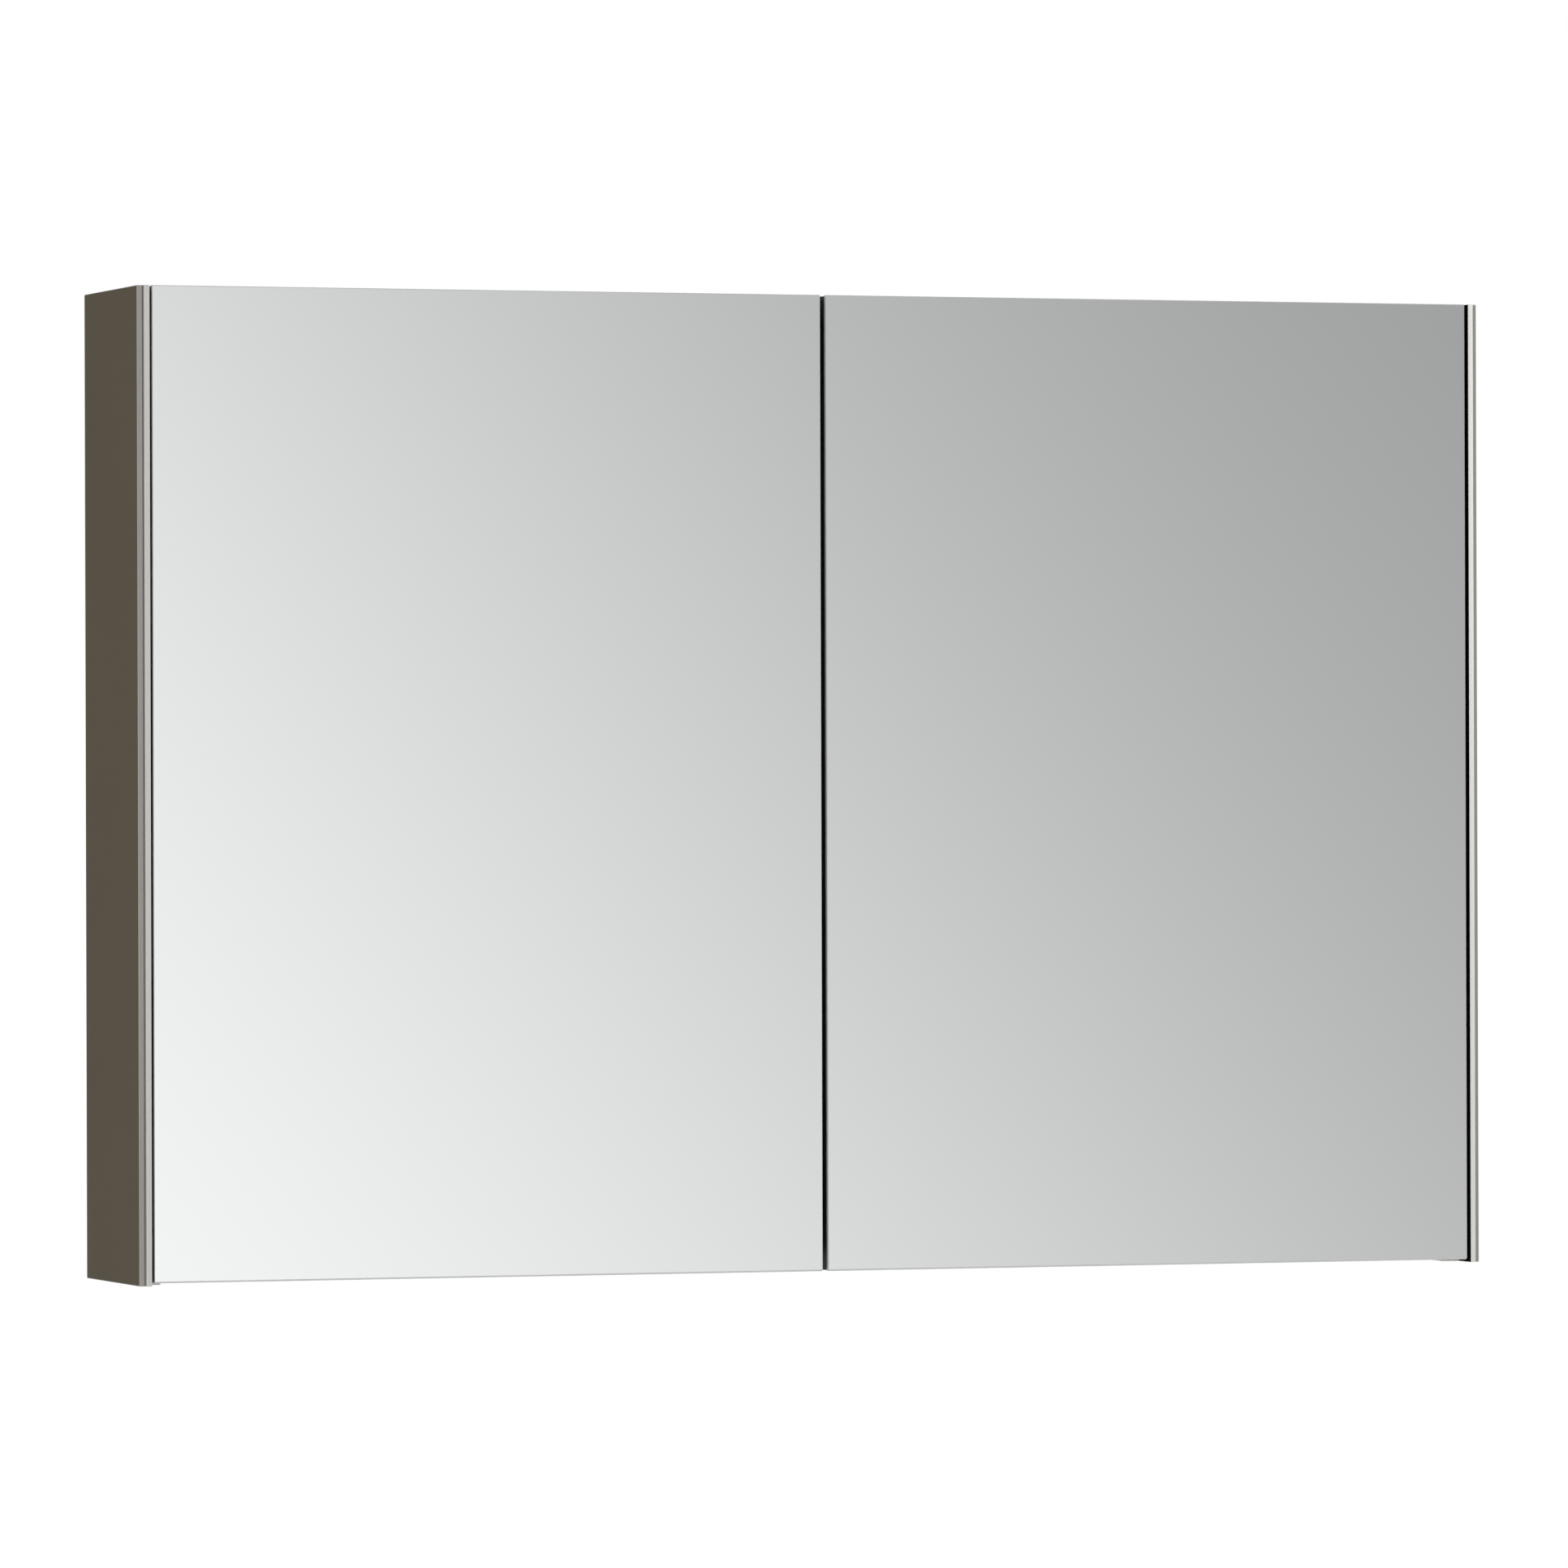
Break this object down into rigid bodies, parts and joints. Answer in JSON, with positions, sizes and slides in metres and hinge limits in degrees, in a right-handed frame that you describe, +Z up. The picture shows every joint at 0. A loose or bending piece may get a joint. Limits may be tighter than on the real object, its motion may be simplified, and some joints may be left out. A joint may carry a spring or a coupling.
{
  "type": "mirror cabinet",
  "caption": "Wall-hung bathroom medicine cabinet with handle-less mirror doors between slim side profiles, glass shelves inside and concealed hinges.",
  "frame": {"origin": "middle of the back of the cabinet, in the plane of the wall, half way up", "axes": "+X to the right of a person facing the mirrors, +Y into the wall, +Z up"},
  "size_m": [1, 0.142, 0.69],
  "materials": {
    "mirror_glass": "silvered 4 mm float glass, polished edges",
    "lacquered_glass": "back-lacquered taupe glass, satin face, ground edges",
    "anodised_profile": "extruded, satin anodised",
    "grey_plastic": "moulded, fine texture",
    "shelf_glass": "clear float glass, polished edges",
    "door_board": "dark laminated board",
    "bumper_rubber": "soft clear-grey pads",
    "hinge_nickel": "nickel plated pressed steel",
    "zinc_steel": "zinc plated pressed steel",
    "carcass_board": "light grey satin lacquer"
  },
  "bodies": {
    "cabinet": {"back_panel": "carcass_board", "back_rib": "carcass_board", "bottom_panel": "carcass_board", "centre_partition": "carcass_board", "left_hanger_case": "zinc_steel", "left_hanger_screw": "zinc_steel", "left_lower_hinge_arm": "hinge_nickel", "left_lower_hinge_plate": "hinge_nickel", "left_lower_shelf": "shelf_glass", "left_lower_shelf_clip_inner": "anodised_profile", "left_lower_shelf_clip_outer": "anodised_profile", "left_profile_cap_bottom": "grey_plastic", "left_profile_cap_top": "grey_plastic", "left_side_glass": "lacquered_glass", "left_side_profile": "anodised_profile", "left_upper_hinge_arm": "hinge_nickel", "left_upper_hinge_plate": "hinge_nickel", "left_upper_shelf": "shelf_glass", "left_upper_shelf_clip_inner": "anodised_profile", "left_upper_shelf_clip_outer": "anodised_profile", "right_hanger_case": "zinc_steel", "right_hanger_screw": "zinc_steel", "right_lower_hinge_arm": "hinge_nickel", "right_lower_hinge_plate": "hinge_nickel", "right_lower_shelf": "shelf_glass", "right_lower_shelf_clip_inner": "anodised_profile", "right_lower_shelf_clip_outer": "anodised_profile", "right_profile_cap_bottom": "grey_plastic", "right_profile_cap_top": "grey_plastic", "right_side_glass": "lacquered_glass", "right_side_profile": "anodised_profile", "right_upper_hinge_arm": "hinge_nickel", "right_upper_hinge_plate": "hinge_nickel", "right_upper_shelf": "shelf_glass", "right_upper_shelf_clip_inner": "anodised_profile", "right_upper_shelf_clip_outer": "anodised_profile", "top_panel": "carcass_board"},
    "left_link": {"left_lower_hinge_link": "hinge_nickel", "left_upper_hinge_link": "hinge_nickel"},
    "left_door": {"left_door_bumper_bottom": "bumper_rubber", "left_door_bumper_top": "bumper_rubber", "left_door_core": "door_board", "left_door_inner_mirror": "mirror_glass", "left_door_mirror": "mirror_glass", "left_lower_hinge_cup": "hinge_nickel", "left_upper_hinge_cup": "hinge_nickel"},
    "right_link": {"right_lower_hinge_link": "hinge_nickel", "right_upper_hinge_link": "hinge_nickel"},
    "right_door": {"right_door_bumper_bottom": "bumper_rubber", "right_door_bumper_top": "bumper_rubber", "right_door_core": "door_board", "right_door_inner_mirror": "mirror_glass", "right_door_mirror": "mirror_glass", "right_lower_hinge_cup": "hinge_nickel", "right_upper_hinge_cup": "hinge_nickel"},
    "hanging_set": {"left_hanger_hook": "zinc_steel", "right_hanger_hook": "zinc_steel", "wall_rail": "zinc_steel"}
  },
  "joints": [
    {"name": "left_link_swing", "type": "hinge", "parent": "cabinet", "child": "left_link", "pos_m": [-0.446, -0.114, 0], "axis": [0, 0, 1], "range_deg": [0, 26.7]},
    {"name": "left_door_swing", "type": "hinge", "parent": "left_link", "child": "left_door", "pos_m": [-0.48, -0.13, 0], "axis": [0, 0, -1], "range_deg": [0, 121.6]},
    {"name": "right_link_swing", "type": "hinge", "parent": "cabinet", "child": "right_link", "pos_m": [0.446, -0.114, 0], "axis": [0, 0, -1], "range_deg": [0, 26.7]},
    {"name": "right_door_swing", "type": "hinge", "parent": "right_link", "child": "right_door", "pos_m": [0.48, -0.13, 0], "axis": [0, 0, 1], "range_deg": [0, 121.6]},
    {"name": "hanging_height", "type": "slide", "parent": "cabinet", "child": "hanging_set", "axis": [0, 0, 1], "range_m": [-0.004, 0.004]}
  ],
  "couplings": [
    {"joint": "left_link_swing", "follows": "left_door_swing", "ratio": 0.21875},
    {"joint": "right_link_swing", "follows": "right_door_swing", "ratio": 0.21875}
  ]
}
